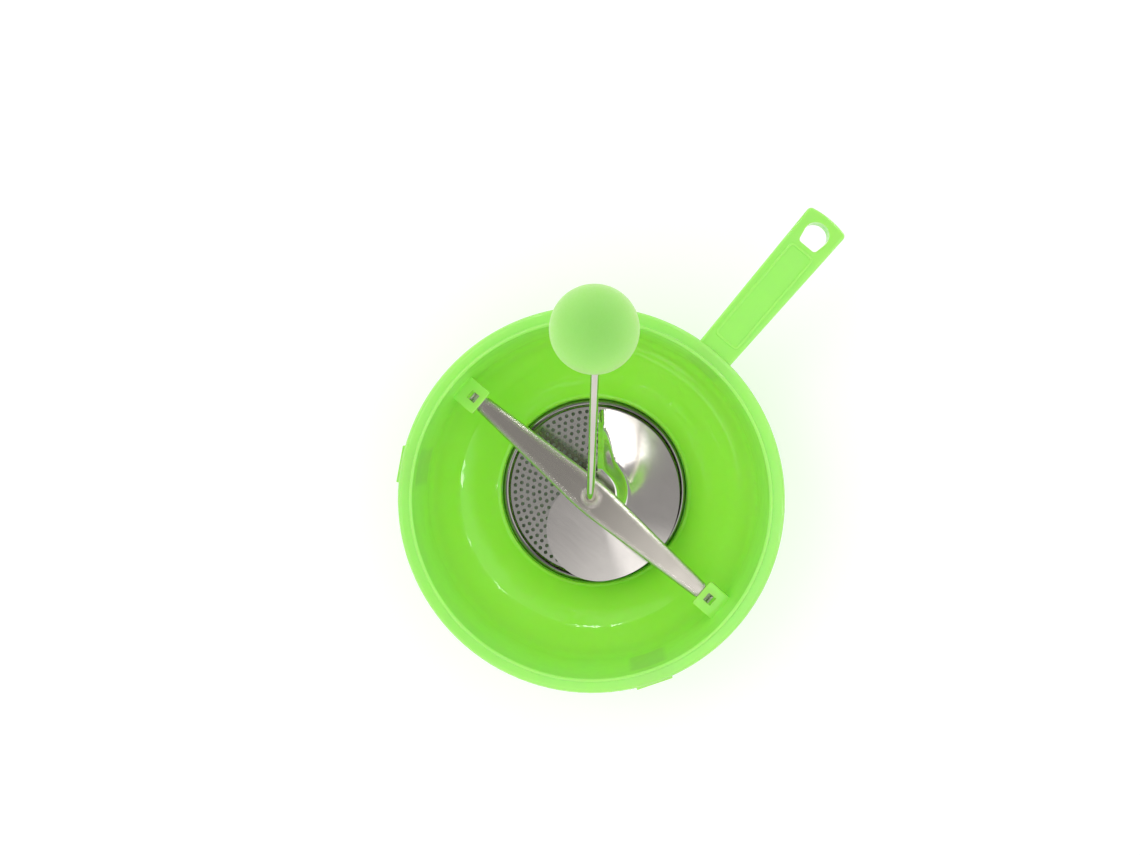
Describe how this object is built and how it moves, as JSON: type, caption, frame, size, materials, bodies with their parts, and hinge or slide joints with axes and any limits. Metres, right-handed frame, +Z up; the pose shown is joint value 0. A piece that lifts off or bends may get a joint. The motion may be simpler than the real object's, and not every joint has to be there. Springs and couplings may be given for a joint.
{
  "type": "rotary food mill",
  "caption": "Hand-cranked food mill: moulded bowl with a long handle, perforated floor disc and a sprung ramp blade on a bent crank with a ball knob, held down by a steel bridge.",
  "frame": {"origin": "on the bowl's axis, on the plane of the base ring", "axes": "+Z up along the bowl's axis, +X along the handle, the bridge lies along Y"},
  "size_m": [0.2975, 0.206, 0.1835],
  "materials": {
    "green_plastic": "translucent lime-green moulding, satin gloss",
    "frosted_plastic": "milky light-green moulding, frosted",
    "polished_steel": "bright pressed stainless sheet",
    "disc_steel": "bright perforated stainless sheet",
    "bridge_steel": "stainless strip, brushed along its length",
    "rod_steel": "bright drawn wire",
    "spring_steel": "bright spring wire",
    "small_steel": "plain stainless"
  },
  "bodies": {
    "bowl": {"bowl": "green_plastic", "sieve_disc": "disc_steel"},
    "bridge": {"bridge": "bridge_steel", "spring_upper_washer": "small_steel"},
    "spring_seat": {"spring_lower_washer": "small_steel", "spring": "spring_steel"},
    "rotor": {"blade": "polished_steel", "blade_clamp_washer": "small_steel", "blade_nut": "small_steel", "crank_rod": "rod_steel", "knob_lock_washer": "small_steel"},
    "knob": {"knob_lower_half": "frosted_plastic", "knob_upper_half": "frosted_plastic"}
  },
  "joints": [
    {"name": "bridge_press", "type": "slide", "parent": "bowl", "child": "bridge", "axis": [0, 0, -1], "range_m": [0, 0.003], "stiffness_N_per_m": 2000, "springref_m": -0.006, "deforming": ["spring"]},
    {"name": "rotor_lift", "type": "slide", "parent": "bowl", "child": "spring_seat", "axis": [0, 0, 1], "range_m": [0, 0.005], "stiffness_N_per_m": 2000, "springref_m": -0.006, "deforming": ["spring"]},
    {"name": "crank_spin", "type": "hinge", "parent": "spring_seat", "child": "rotor", "pos_m": [0, 0, 0.05], "axis": [0, 0, 1], "continuous": true},
    {"name": "knob_spin", "type": "hinge", "parent": "rotor", "child": "knob", "pos_m": [0.06788, 0.05115, 0.16253], "axis": [0, 0, 1], "continuous": true}
  ]
}
